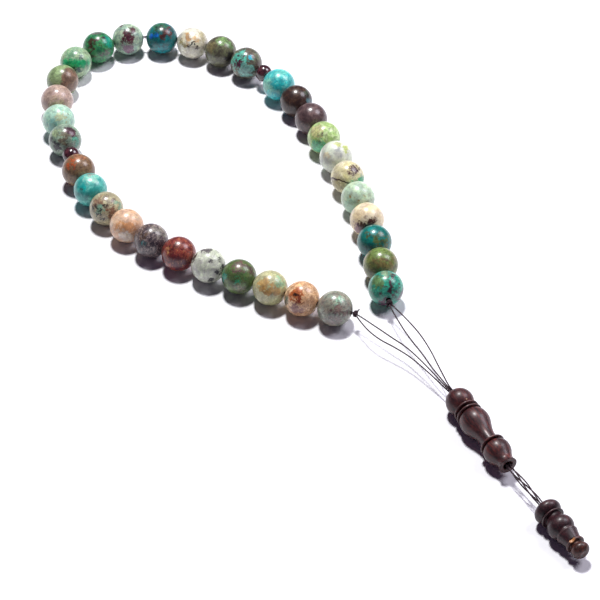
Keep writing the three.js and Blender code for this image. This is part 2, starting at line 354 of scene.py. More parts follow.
def turn_profile(name, profile, place, way, sides, finish, chip=None):
    """Spins a closed profile of [distance along the axis, radius] about the axis."""
    shape = bmesh.new()
    ring = [shape.verts.new((r, -s, 0)) for s, r in profile]
    edges = [shape.edges.new(pair) for pair in zip(ring, ring[1:])]
    if profile[0][1] > 0:
        edges.append(shape.edges.new((ring[-1], ring[0])))
    bmesh.ops.spin(
        shape, geom=ring + edges, cent=(0, 0, 0), axis=(0, 1, 0), dvec=(0, 0, 0),
        angle=2 * math.pi, steps=sides, use_merge=True, use_duplicate=False,
    )
    bmesh.ops.remove_doubles(shape, verts=shape.verts, dist=MERGE)
    bmesh.ops.recalc_face_normals(shape, faces=shape.faces)
    turn = math.atan2(way.x, -way.y)
    seat = Matrix.Translation(place) @ Matrix.Rotation(turn, 4, "Z")
    bmesh.ops.transform(shape, matrix=seat, verts=shape.verts)
    if chip:
        spot, reach, inward = chip
        for vertex in shape.verts:
            gap = (vertex.co - spot).length / reach
            if gap < 1:
                vertex.co += inward * (1 - gap * gap)
    mesh = bpy.data.meshes.new(name)
    shape.to_mesh(mesh)
    shape.free()
    mesh.materials.append(finish)
    mesh.shade_smooth()
    mesh.set_sharp_from_angle(angle=SHARP)
    piece = bpy.data.objects.new(name, mesh)
    bpy.context.scene.collection.objects.link(piece)
    return piece


def bead_profile(width, mouth, arcs):
    """From one mouth's countersink over the ball to the other, and back through the bore."""
    r = width / 2
    lead = (mouth - BORE) * SINK
    start = math.asin(mouth / r)
    turn = [start + (math.pi - 2 * start) * i / arcs for i in range(arcs + 1)]
    ball = [(-r * math.cos(a), r * math.sin(a)) for a in turn]
    edge = ball[0][0]
    lip = (LIP * lead, mouth - LIP / 2 * lead)
    return [
        (edge + lead, BORE), (edge + lip[0], lip[1]), *ball,
        (-edge - lip[0], lip[1]), (-edge - lead, BORE),
    ]


# For each stone: its two ground colours and how small the clouds of them are; patches as
# (across, up, reach, colour, raggedness) on a ball of radius 1; the colour, amount and scale of
# the matrix; the colour and amount of the flecks; and how strongly it is mottled, 1 if not said.
# The patches low on the front of nine stones, marked below, are painted reflection: of the white
# floor where they are paler, of the shadow under the bead where they are darker.
STONES = {
    1: dict(ground="2aa58e", second="45b89e", cloud=1.5,
            patches=[(-0.5, 0.45, 0.42, "6c9460", 0.9), (0.3, 0.72, 0.2, "58404a", 0.9),
                     (0.18, 0.26, 0.12, "4a2636", 0.7), (-0.06, 0.08, 0.09, "4a2636", 0.7),
                     (0.34, 0.04, 0.13, "4a2636", 0.8), (0.12, -0.14, 0.1, "4a2636", 0.8),
                     (0.64, 0.14, 0.15, "4c2838", 0.8), (0.52, -0.36, 0.18, "4a2636", 0.9),
                     # 5c3e54, low on the front, is painted reflection of the shadow under the
                     # bead.
                     (-0.34, -0.36, 0.07, "4a2636", 0.6), (-0.1, -0.85, 0.38, "5c3e54", 0.9),
                     (0.85, -0.4, 0.32, "6c5064", 0.9), (-0.1, 0.85, 0.3, "8fae90", 0.6)],
            matrix=("43222f", 0.24, 5.0), flecks=("2c5c54", 0.6)),
    2: dict(ground="7f9253", second="8c7e53", cloud=1.6,
            patches=[(0.0, 0.7, 0.6, "7c9b58", 0.6), (-0.1, -0.1, 0.5, "827449", 0.9),
                     (-0.5, -0.4, 0.5, "6a774c", 0.7)],
            matrix=("5c4a30", 0.52, 6.5), flecks=("a19958", 0.6)),
    3: dict(ground="0a8c84", second="0a7670", cloud=1.2,
            patches=[(0.1, 0.3, 0.34, "5e7346", 1.0), (0.5, 0.0, 0.3, "5c6c42", 1.0),
                     (0.75, -0.3, 0.3, "526a48", 0.9), (-0.3, 0.42, 0.24, "5a6440", 1.1),
                     (-0.1, 0.62, 0.26, "109c9c", 0.7), (-0.3, -0.5, 0.36, "0a7478", 0.6)],
            matrix=("4c3c2c", 0.34, 5.0), flecks=("0a5c58", 0.4)),
    4: dict(ground="f4e0b6", second="f2e6c8", cloud=1.2, mottle=0.25,
            # 9a7684, low on the front, is painted reflection of the shadow under the bead.
            patches=[(-0.5, -0.6, 0.4, "9a7684", 0.6), (-0.22, -0.34, 0.29, "3f1517", 0.6),
                     (0.2, -0.24, 0.29, "43181a", 0.6), (0.46, 0.02, 0.1, "4e1f1e", 0.4),
                     (-0.14, 0.06, 0.09, "5a2822", 0.4)],
            matrix=("bc9c7c", 0.04, 5.0), flecks=("e0c8a0", 0.2)),
    5: dict(ground="c6e6cc", second="cee8cc", cloud=1.4, mottle=0.4,
            patches=[(-0.3, -0.6, 0.6, "b2dcc4", 0.5), (-0.45, 0.1, 0.07, "a0905c", 0.6),
                     (0.3, 0.1, 0.06, "94845a", 0.6), (-0.05, -0.25, 0.06, "94845a", 0.6),
                     (0.45, -0.3, 0.07, "a0905c", 0.6)],
            matrix=("9c8f62", 0.42, 6.0), flecks=("968454", 0.9)),
    6: dict(ground="e4deb0", second="ebe6ca", cloud=1.6, mottle=0.45,
            patches=[(0.35, -0.55, 0.34, "3cae84", 0.6), (0.85, -0.2, 0.36, "3cae84", 0.6),
                     (0.34, 0.44, 0.3, "523843", 0.5), (0.6, 0.52, 0.2, "3f202c", 0.7),
                     (0.1, 0.25, 0.1, "5c3a3c", 0.7), (-0.6, -0.5, 0.4, "b4ac80", 0.8)],
            matrix=("755a4d", 0.14, 4.5), flecks=("b0a04e", 0.6),
            vein=("391a1c", (-0.45, -0.22), 0.055)),
    7: dict(ground="e5ecde", second="d5dfd0", cloud=1.3, mottle=0.35,
            patches=[(0.2, 0.75, 0.25, "d0db8c", 0.9), (0.5, 0.5, 0.24, "c5d37d", 0.9),
                     (0.15, 0.3, 0.2, "bcc3c0", 1.2), (-0.6, 0.0, 0.22, "dbd1b1", 0.9)],
            matrix=("bab39a", 0.14, 4.0), flecks=("b3bfa8", 0.35)),
    8: dict(ground="b4d884", second="cfe4ae", cloud=1.7, mottle=0.7,
            patches=[(-0.5, 0.4, 0.45, "d6d79c", 0.6), (-0.35, -0.65, 0.5, "68cc9c", 0.5),
                     (-0.12, 0.18, 0.1, "3c1430", 0.2), (-0.36, 0.1, 0.06, "442a37", 0.2),
                     (-0.28, -0.3, 0.07, "563343", 0.2)],
            matrix=("649c5e", 0.34, 4.0), flecks=("6c8048", 0.9)),
    9: dict(ground="5f4d50", second="6c575a", cloud=1.3, patches=[],
            matrix=("4a3a3b", 0.1, 5.0), flecks=("806a6b", 0.25)),
    10: dict(ground="402e2c", second="523c32", cloud=1.8,
             patches=[(0.85, -0.1, 0.35, "5b8490", 0.8), (0.7, 0.4, 0.25, "526151", 0.8)],
             matrix=("26191c", 0.3, 4.0), flecks=("695242", 0.5)),
    11: dict(ground="48c8cc", second="74d2ca", cloud=1.2, mottle=0.7,
             patches=[(-0.05, -0.12, 0.32, "22bcc0", 0.5), (-0.1, -0.85, 0.4, "28c0cc", 0.4),
                      (-0.75, -0.1, 0.4, "96dcca", 0.5)],
             matrix=("a0b890", 0.2, 4.0), flecks=("68b4a8", 0.4)),
    12: dict(ground="675d52", second="737362", cloud=1.5,
             # 81b8b0, low on the front, is painted reflection of the white floor.
             patches=[(-0.45, 0.1, 0.62, "64ceb8", 1.1), (0.0, -0.55, 0.5, "81b8b0", 0.7),
                      (-0.55, -0.1, 0.26, "511d37", 0.9), (0.24, 0.27, 0.12, "33c7e8", 0.4),
                      (-0.3, 0.3, 0.16, "511d37", 0.9)],
             matrix=("51233c", 0.34, 4.4), flecks=("9bded2", 0.5)),
    13: dict(ground="626150", second="6e7258", cloud=1.5,
             patches=[(0.15, 0.62, 0.4, "83a86c", 0.7), (0.55, 0.35, 0.25, "79a069", 0.7),
                      (0.65, -0.45, 0.4, "2e2e30", 0.5), (-0.6, 0.2, 0.4, "7e7655", 0.5)],
             matrix=("48483a", 0.3, 4.0), flecks=("939b82", 0.4)),
    14: dict(ground="e6e4cb", second="ebecdf", cloud=1.3, mottle=0.4,
             patches=[(-0.3, 0.14, 0.3, "d6ad7c", 1.2), (0.35, 0.1, 0.28, "dcbd92", 1.2),
                      (-0.62, -0.16, 0.22, "aea57e", 1.0), (0.66, 0.3, 0.3, "c5bf9a", 0.8),
                      (0.12, -0.22, 0.16, "302e31", 1.2), (-0.1, -0.36, 0.1, "393835", 1.0),
                      (0.32, -0.4, 0.08, "403b3a", 1.0)],
             matrix=("b49b7c", 0.1, 5.0), flecks=("c0b492", 0.25)),
    15: dict(ground="0f8288", second="0b6c72", cloud=1.3,
             patches=[(-0.1, 0.72, 0.5, "3f8a6a", 0.7), (-0.05, 0.36, 0.34, "2c4e44", 1.2),
                      (0.5, 0.36, 0.24, "6a3a3c", 1.3), (0.1, 0.08, 0.18, "5a302f", 1.4),
                      (-0.64, 0.04, 0.15, "0a74ff", 0.12), (-0.3, 0.08, 0.14, "1684ff", 0.12),
                      (0.1, -0.8, 0.4, "0e94a0", 0.4)],
             matrix=("5c3436", 0.25, 5.0), flecks=("7a4a44", 0.6)),
    16: dict(ground="a7cbb9", second="bbd3b9", cloud=1.5,
             patches=[(0.1, 0.1, 0.36, "561c30", 0.6), (0.3, 0.42, 0.26, "5a2032", 0.6),
                      (-0.14, -0.1, 0.2, "561c30", 0.7), (0.22, -0.24, 0.26, "5a2439", 0.6),
                      # 8a6681, low on the front, is painted reflection of the shadow under the
                      # bead.
                      (0.05, -0.75, 0.38, "8a6681", 0.6), (-0.35, 0.8, 0.12, "65293c", 0.5)],
             matrix=("7ca399", 0.3, 4.0), flecks=("8a9888", 0.5)),
    17: dict(ground="328c60", second="46a064", cloud=1.6,
             patches=[(0.62, 0.3, 0.42, "16a890", 0.7), (-0.34, 0.24, 0.23, "42281f", 0.6),
                      (-0.36, -0.1, 0.23, "42281f", 0.6), (-0.28, -0.42, 0.22, "4e3430", 0.9),
                      (0.2, 0.5, 0.2, "463c36", 1.2), (0.12, 0.05, 0.14, "4a3832", 1.0),
                      (-0.05, 0.88, 0.25, "6f7270", 0.6), (0.55, -0.4, 0.26, "6a6c66", 1.0)],
             matrix=("573834", 0.4, 5.5), flecks=("206444", 0.6)),
    18: dict(ground="a0c8a8", second="b0caa4", cloud=1.5, mottle=0.8,
             patches=[(-0.6, -0.1, 0.27, "06b877", 0.2), (-0.25, -0.2, 0.3, "06b070", 0.2),
                      (0.15, -0.22, 0.31, "06ac6c", 0.2), (0.52, -0.2, 0.29, "08b274", 0.2),
                      (0.8, -0.14, 0.2, "14b480", 0.3), (0.15, -0.58, 0.2, "1f5c54", 0.7),
                      (0.45, 0.25, 0.12, "5f7c70", 1.0), (-0.2, 0.5, 0.2, "7ab48c", 1.0)],
             matrix=("74a07c", 0.34, 5.0), flecks=("86a078", 0.5)),
    19: dict(ground="9ebb89", second="94ae81", cloud=1.4,
             patches=[(0.75, 0.0, 0.85, "886d5e", 0.25)],
             matrix=("757f5c", 0.2, 4.5), flecks=("695447", 0.4)),
    20: dict(ground="d6beb4", second="c2ac9f", cloud=1.8, mottle=0.7,
             patches=[(0.1, -0.45, 0.45, "beb294", 1.0)],
             matrix=("8c6c64", 0.5, 7.0), flecks=("6a5a4c", 1.0)),
    21: dict(ground="b2e3d0", second="c3ebd7", cloud=1.8, mottle=0.5,
             patches=[(-0.3, -0.4, 0.4, "9ad6cc", 0.7), (0.3, 0.1, 0.3, "c3d2b0", 1.1)],
             matrix=("b0ab89", 0.4, 5.5), flecks=("a39a7b", 0.8)),
    22: dict(ground="a4beaa", second="90ac98", cloud=1.7,
             patches=[(0.36, 0.5, 0.36, "521c38", 0.6), (0.62, 0.28, 0.2, "521c38", 0.8),
                      (0.0, 0.1, 0.3, "807c68", 1.3), (-0.7, -0.1, 0.24, "262630", 0.6),
                      (-0.45, -0.45, 0.24, "262630", 0.7), (-0.5, 0.4, 0.3, "a8be98", 0.5),
                      (0.72, -0.1, 0.22, "6cbfa6", 0.7)],
             matrix=("4a3642", 0.46, 5.0), flecks=("54564c", 0.7)),
    23: dict(ground="937556", second="866d54", cloud=1.6,
             patches=[(-0.5, 0.35, 0.22, "b4522c", 1.4), (-0.2, 0.6, 0.2, "b25a30", 1.4),
                      (0.1, 0.85, 0.3, "aa795b", 0.8)],
             matrix=("725a45", 0.3, 5.5), flecks=("634a3c", 0.6)),
    24: dict(ground="46b2ac", second="68c8be", cloud=1.2, mottle=0.4,
             patches=[(-0.4, 0.05, 0.24, "1cc0bc", 0.6), (-0.48, -0.03, 0.09, "4d3437", 0.4),
                      (0.1, 0.7, 0.4, "a0dccc", 0.8), (0.02, 0.88, 0.16, "a57f75", 0.8),
                      (0.3, -0.3, 0.4, "3aa7a2", 0.7)],
             matrix=("3a7f7c", 0.24, 5.5), flecks=("367a76", 0.6)),
    25: dict(ground="ccc8a8", second="b8b494", cloud=1.6,
             patches=[(-0.4, 0.3, 0.36, "a08470", 1.3), (-0.35, -0.2, 0.3, "8cbaa4", 1.0),
                      (-0.3, -0.42, 0.18, "343438", 1.2), (0.04, 0.16, 0.1, "26262a", 0.9),
                      (-0.66, -0.06, 0.13, "2f2f2c", 0.9), (0.5, -0.2, 0.36, "94705c", 1.2),
                      (0.3, 0.5, 0.24, "7c6450", 1.3), (0.75, 0.2, 0.24, "9cc0a4", 0.9)],
             matrix=("665446", 0.5, 5.0), flecks=("80704c", 0.8)),
    26: dict(ground="ecc2a2", second="ecd2b8", cloud=1.3, mottle=0.45,
             patches=[(-0.3, -0.1, 0.32, "e1a97c", 1.2), (0.3, -0.15, 0.34, "dca175", 1.2),
                      # ecdfd0, low on the front, is painted reflection of the white floor.
                      (0.0, 0.6, 0.4, "ecc8ac", 0.6), (0.0, -0.75, 0.4, "ecdfd0", 0.6)],
             matrix=("ce9f75", 0.3, 5.0), flecks=("c5a970", 0.6)),
    27: dict(ground="423c46", second="5c5256", cloud=2.2,
             patches=[(0.5, 0.6, 0.4, "8a8980", 1.3), (-0.45, 0.5, 0.4, "5f4e44", 1.3),
                      (-0.35, -0.18, 0.1, "47a4a6", 0.6)],
             matrix=("b4a4a2", 0.62, 7.5), flecks=("d0c0bc", 1.2)),
    28: dict(ground="742f33", second="93493f", cloud=1.8,
             # 5c2c3c, low on the front, is painted reflection of the shadow under the bead.
             patches=[(0.2, 0.35, 0.45, "9a4c40", 1.0), (0.0, -0.7, 0.5, "5c2c3c", 0.6),
                      (-0.6, 0.12, 0.14, "c3956a", 1.2), (-0.3, 0.4, 0.14, "4c2c26", 1.2)],
             matrix=("3c1c22", 0.5, 6.0), flecks=("dca474", 0.9)),
    29: dict(ground="e4e9dc", second="d2dcc8", cloud=1.5, mottle=0.6,
             patches=[(0.6, 0.42, 0.18, "34323c", 0.8), (0.88, -0.1, 0.2, "3c3a45", 0.9),
                      (0.25, -0.8, 0.24, "3c3a45", 0.9), (0.55, -0.48, 0.16, "44424e", 0.9),
                      (0.2, 0.18, 0.07, "4c4a52", 0.8), (-0.2, -0.3, 0.06, "5c5a60", 0.8),
                      (-0.85, 0.42, 0.18, "463e3b", 0.9), (-0.1, 0.86, 0.22, "58505a", 0.9)],
             matrix=("8c9484", 0.3, 5.5), flecks=("a0a890", 0.6)),
    30: dict(ground="70884f", second="587046", cloud=1.6,
             patches=[(0.0, 0.6, 0.4, "7c5f5c", 0.9), (0.7, 0.35, 0.26, "5c4a48", 0.9),
                      (0.02, -0.32, 0.18, "2cc48e", 1.1), (-0.9, -0.1, 0.25, "38b09a", 0.7),
                      # 8a8c78, low on the front, is painted reflection of the white floor.
                      (0.1, -0.75, 0.36, "8a8c78", 0.7)],
             matrix=("664e42", 0.5, 5.5), flecks=("3ca070", 0.7)),
    31: dict(ground="c2c89c", second="cccca4", cloud=1.2, mottle=0.6,
             patches=[(-0.35, 0.15, 0.42, "ccaa70", 0.9), (-0.05, -0.15, 0.32, "be965c", 0.9),
                      (0.4, -0.1, 0.28, "c4a676", 1.0), (0.6, 0.3, 0.3, "a8d4ac", 0.7)],
             matrix=("a68e58", 0.36, 6.0), flecks=("9c885a", 0.7)),
    32: dict(ground="e6b68a", second="efcea8", cloud=1.4, mottle=0.8,
             patches=[(-0.34, 0.14, 0.4, "bc6a3a", 0.8), (-0.2, -0.08, 0.2, "8a402a", 1.0),
                      # 9f736a, low on the front, is painted reflection of the shadow under the
                      # bead.
                      (-0.36, 0.22, 0.1, "241410", 0.6), (-0.3, -0.62, 0.36, "9f736a", 0.6),
                      (-0.9, -0.15, 0.24, "55715a", 0.5), (0.2, 0.45, 0.08, "8a4c34", 0.8)],
             matrix=("8c543c", 0.42, 7.5), flecks=("74422e", 1.0)),
    33: dict(ground="afb9aa", second="9e968c", cloud=1.7,
             patches=[(-0.1, 0.1, 0.22, "765d58", 1.5), (0.1, 0.35, 0.28, "9ecbb2", 1.2),
                      # 9e9494, low on the front, is painted reflection of the shadow under the
                      # bead.
                      (0.3, -0.1, 0.3, "8a7671", 1.4), (0.0, -0.7, 0.4, "9e9494", 0.6)],
             matrix=("74544f", 0.56, 6.5), flecks=("76b294", 0.7)),
}


def stone_finish(name, centre, look, seed):
    """Polished stone: cloudy ground, patches of other rock and of painted reflection, matrix,
    web, flecks and grit.
    """
    finish = Finish(name, IOR=1.45, Coat_Weight=0.3, Coat_Roughness=0.17)
    r = BEAD_WIDTH / 2
    place = finish.node("ShaderNodeTexCoord", {}, {}, "Object")
    to_ball = {"Vector": place, "Location": -centre / r, "Scale": (1 / r,) * 3}
    ball = finish.node("ShaderNodeMapping", {}, to_ball)
    mottling = look.get("mottle", 1.0)
    draw = random.Random(seed)
    rock = ball + tuple(draw.uniform(-40, 40) for _ in range(3))
    stir = finish.noise(rock, 1.3, 3, output=1) - 0.5
    rock = rock + stir * 0.7
    cloud = finish.noise(rock, look["cloud"], 7, 0.62)
    grain = finish.noise(rock, 3.2, 8, 0.7)
    mottle = finish.noise(rock, 5.6, 4, 0.6)
    drift = finish.noise(rock, 2.3, 5, 0.6, 1)
    wide, warm = (finish.node("ShaderNodeSeparateXYZ", {}, {"Vector": drift}, axis)
                  for axis in "XY")
    fine = finish.noise(rock, 12, 5, 0.68)
    grit = finish.noise(rock, 38, 2, 0.6)
    blend = finish.fade(cloud * 0.65 + mottle * 0.35, 0.43, 0.58)
    tone = finish.mix(blend, tint(look["ground"]), tint(look["second"]))

    def towards(way):
        settings = {"operation": "DOT_PRODUCT"}
        return finish.node("ShaderNodeVectorMath", settings, {0: ball, 1: way}, "Value")

    for x, y, reach, colour, ragged in look["patches"]:
        depth = math.sqrt(max(0.0, 1 - x * x - y * y))
        along = towards(x * RIGHT + y * UP + depth * TOWARDS)
        if depth > 0.6:
            along = abs(along)
        level = along + (grain - 0.5) * (ragged * 2.6 * math.sin(reach))
        level = level + (fine - 0.5) * (0.35 * math.sin(reach))
        edge = math.cos(reach)
        soft = 0.06 * math.sin(reach) + 0.006
        patch = finish.fade(level, edge - soft, edge + soft)
        tone = finish.mix(patch * (0.82 + wide * 0.3), tone, tint(colour))
    if "vein" in look:
        colour, (x, y), width = look["vein"]
        way = (UP * 0.95 + RIGHT * 0.28).normalized()
        spot = (x * RIGHT + y * UP).dot(way)
        off = abs(towards(way) + (grain - 0.5) * 0.35 - spot)
        line = 1 - finish.fade(off, width * 0.5, width)
        line = line * finish.fade(towards(-RIGHT), -0.25, 0.1)
        tone = finish.mix(line, tone, tint(colour))
    colour, amount, size = look["matrix"]
    veins = finish.noise(rock, size, 7, 0.72)
    edge = 0.72 - 0.3 * amount
    matrix = finish.fade(veins, edge, edge + 0.07)
    tone = finish.mix(matrix * 0.8, tone, tint(colour))
    net = finish.noise(rock, 1.7 + size * 0.2, 5, 0.6)
    web = 1 - finish.fade(abs(net - 0.5), 0.004, 0.022)
    web = web * finish.fade(wide, 0.42, 0.6)
    tone = finish.mix(web * (0.2 + amount * 0.9), tone, tint(colour))
    colour, amount = look["flecks"]
    dots = {"Vector": rock + (fine - 0.5) * 0.35, "Scale": 5.2}
    dots = finish.node("ShaderNodeTexVoronoi", {}, dots, "Distance")
    fleck = 1 - finish.fade(dots, 0.14, 0.34)
    fleck = fleck * finish.fade(grain, 0.60 - 0.25 * amount, 0.66)
    tone = finish.mix(fleck * 0.75, tone, tint(colour))
    tone = finish.mix(finish.fade(warm, 0.4, 0.66) * 0.35, tone, tint(colour), "SOFT_LIGHT")
    shade = finish.mix(finish.fade(wide, 0.32, 0.68), (0.66, 0.63, 0.66), (1.1, 1.1, 1.06))
    tone = finish.mix(1.0, tone, shade, "MULTIPLY")
    shade = finish.mix(finish.fade(mottle, 0.34, 0.64), (0.66, 0.64, 0.68), (1.16, 1.16, 1.1))
    tone = finish.mix(mottling, tone, shade, "MULTIPLY")
    shade = finish.mix(finish.fade(fine, 0.3, 0.7), (0.74, 0.72, 0.74), (1.17, 1.16, 1.12))
    tone = finish.mix(mottling, tone, shade, "MULTIPLY")
    specks = finish.fade(grit, 0.61, 0.70)
    tone = finish.mix(specks * 0.55 * mottling, tone, tint("2a2420"))
    tone = finish.mix(finish.fade(grit, 0.36, 0.26) * 0.3, tone, tint("efe8d8"))
    finish.drive("Base Color", tone)
    finish.drive("Roughness", 0.26 + matrix * 0.14 + fleck * 0.12 + fine * 0.1)
    height = cloud * 0.5 + fine * 0.12 - matrix * 0.35 - fleck * 0.3 - specks * 0.15
    finish.bump(height, 0.00004, 0.5)
    return finish.material


bead_shape = bead_profile(BEAD_WIDTH, MOUTH, BEAD_ARCS)
for number, look in STONES.items():
    node = f"bead_{number:02d}"
    centre, way = places[node]
    finish = stone_finish(f"stone_{number:02d}", centre, look, number * 7 + 3)
    piece = turn_profile(f"stone_bead_{number:02d}", bead_shape, centre, way, BEAD_SIDES, finish)
    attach(piece, node)
    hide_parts(node)


# ==== Separators ==============================================================================
# Two small dark garnet-brown beads part the elevens, so that the count is felt by the finger.
# They are turned and polished like the stones, half as wide.
SEPARATOR_WIDTH = 2 * SEPARATOR_HALF
SEPARATOR_ARCS = 28
SEPARATOR_SIDES = 64


def separator_finish(name, centre):
    finish = Finish(name, Coat_Weight=0.8, Coat_Roughness=0.05)
    place = finish.node("ShaderNodeTexCoord", {}, {}, "Object")
    r = SEPARATOR_WIDTH / 2
    to_ball = {"Vector": place, "Location": -centre / r, "Scale": (1 / r,) * 3}
    ball = finish.node("ShaderNodeMapping", {}, to_ball)
    cloud = finish.noise(ball, 1.6, 5, 0.6)
    fine = finish.noise(ball, 9, 4, 0.6)
    tone = finish.mix(finish.fade(cloud, 0.4, 0.62), tint("30161f"), tint("582c34"))
    tone = finish.mix(finish.fade(fine, 0.58, 0.7) * 0.5, tone, tint("7c5250"))
    finish.drive("Base Color", tone)
    finish.drive("Roughness", 0.18 + fine * 0.12)
    finish.bump(cloud * 0.5 + fine * 0.1, 0.00003, 0.4)
    return finish.material


separator_shape = bead_profile(SEPARATOR_WIDTH, MOUTH, SEPARATOR_ARCS)
for number in (1, 2):
    node = f"separator_{number}"
    centre, way = places[node]
    finish = separator_finish(f"separator_finish_{number}", centre)
    piece = turn_profile(f"dark_separator_{number}", separator_shape, centre, way,
                         SEPARATOR_SIDES, finish)
    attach(piece, node)
    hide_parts(node)


# ==== Upper strands ===========================================================================
# The doubled cord goes on from each knot as two free strands. The four bow a little, come
# together and run side by side into the imame's mouth.
IMAME_AXIS = 0.0189391        # across the table
MOUTH_Y = -0.0641041
IMAME_RISE = 0.0040
BEAD_RISE = 0.00495
STRAND_STEP = CORD_LAY / 9
# The rest is in millimetres.
IMAME_LENGTH = 30.0
UPPER_GAP = 38.3              # from the knots to the mouth
STRAND_HALF = 0.35            # from the bore's axis to a strand, across and up
LEAVING = (0.45, 1.35)        # the strand's first two points, from the knot's middle
INTO_IMAME = (-0.6, -3)       # the strand's last two points, inside the mouth
SINKING = 1.5                 # above 1 the strands stay high and dip close to the mouth
UPPER = {
    "left_outer": dict(knot=left_knot, side=-1, rise=1, leave=(0.42, -0.91), way=[
        (-6.6, 30.2), (-5.1, 25.8), (-3.3, 20.6), (-2.2, 14.8), (-1.4, 8.5), (-0.75, 2.4)]),
    "left_inner": dict(knot=left_knot, side=-1, rise=-1, leave=(-0.12, -0.99), way=[
        (-9.6, 31.4), (-8.3, 26.7), (-6.2, 22.4), (-4.2, 17.6), (-2.5, 11), (-0.85, 2.4)]),
    "right_outer": dict(knot=right_knot, side=1, rise=1, leave=(0.25, -0.97), way=[
        (2, 29.8), (2.4, 23.5), (2, 16.6), (1.3, 11.6), (0.6, 6.5), (0.15, 2.4)]),
    "right_inner": dict(knot=right_knot, side=1, rise=-1, leave=(-0.3, -0.95), way=[
        (-0.6, 28.3), (-0.7, 22.5), (-0.5, 17), (-0.5, 11), (-0.25, 6.5), (0.05, 2.4)]),
}


def length_of(line):
    return sum((q - p).length for p, q in zip(line, line[1:]))


def in_row(x, y, z):
    """A place given in millimetres from the middle of the imame's mouth."""
    return Vector((IMAME_AXIS + x * MM, MOUTH_Y + y * MM, z))


for name, strand in UPPER.items():
    leave = Vector((*strand["leave"], 0))
    points = [strand["knot"] + leave * out * MM for out in LEAVING]
    mouth_rise = IMAME_RISE + strand["rise"] * STRAND_HALF * MM
    for x, y in strand["way"]:
        share = (1 - y / UPPER_GAP) ** SINKING
        points.append(in_row(x, y, BEAD_RISE + (mouth_rise - BEAD_RISE) * share))
    side = strand["side"] * STRAND_HALF
    points += [in_row(side, y, mouth_rise) for y in INTO_IMAME]
    line = smooth_line(points, STRAND_STEP)
    piece = cord_piece("strand_to_imame_" + name, [line])
    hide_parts("upper_strand_" + name)
    length_of(line)
    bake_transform(piece)


# ==== Imame ===================================================================================
# The long turned head of the string, in very dark hardwood: ball, two rings, belly, neck,
# collar and foot, bored through. Turned on a lathe, oiled and rubbed; it slides on the strands.
IMAME_SIDES = 112
WOOD_BORE = 0.0010950
STRAND_MOUTH = WOOD_BORE + 0.00015
RIM_STEPS = 8


def swell(centre, along, radius, r0, r1, steps):
    """A rounded turn, from the radius r0 on its near side to r1 on its far side."""
    start = math.acos(-math.sqrt(1 - (r0 / radius) ** 2))
    end = math.acos(math.sqrt(1 - (r1 / radius) ** 2))
    turn = [start + (end - start) * i / steps for i in range(steps + 1)]
    return [(centre + along * math.cos(a), radius * math.sin(a)) for a in turn]


def turned_ring(start, width, radius, foot):
    """A thin disc whose rim is rounded over."""
    rim = [(start, foot), (start + width * 0.03, radius * 0.9)]
    for i in range(RIM_STEPS + 1):
        a = math.pi * (0.08 + 0.84 * i / RIM_STEPS)
        rim.append((
            start + width * (0.5 - 0.5 * math.cos(a)),
            radius - width * 0.55 * (1 - math.sin(a)),
        ))
    return [*rim, (start + width * 0.97, radius * 0.9), (start + width, foot)]


def sweep(points, step):
    """A flowing turn through the points."""
    line = smooth_line([(s, r, 0) for s, r in points], step)
    return [(p.x, p.y) for p in line]


def in_metres(profile):
    return [(s * MM, r * MM) for s, r in profile]


imame_profile = in_metres([
    *swell(3.85, 3.85, 3.85, STRAND_MOUTH / MM, 2.45, 34),
    *turned_ring(7.2, 0.6, 3.62, 2.45),
    (8.15, 2.75),
    *turned_ring(8.75, 0.6, 3.72, 2.85),
    *sweep([(9.6, 3.0), (10.0, 3.5), (10.9, 3.88), (12.3, 4.05), (13.6, 3.9), (15.1, 3.38),
            (16.6, 2.82), (18.2, 2.42), (20.9, 2.2)], 0.3),
    *turned_ring(21.3, 0.65, 3.5, 2.3),
    *sweep([(22.2, 2.65), (22.7, 3.3), (23.4, 3.62), (24.2, 3.72), (25.6, 3.5), (27.2, 2.75),
            (28.5, 2.32), (29.2, 2.38), (29.8, 2.52)], 0.25),
    (29.93, 2.58), (IMAME_LENGTH, 2.5), (IMAME_LENGTH, WOOD_BORE / MM + 0.4),
    (29.9, WOOD_BORE / MM + 0.33),
    (29.0, WOOD_BORE / MM), (0.5, WOOD_BORE / MM),
])


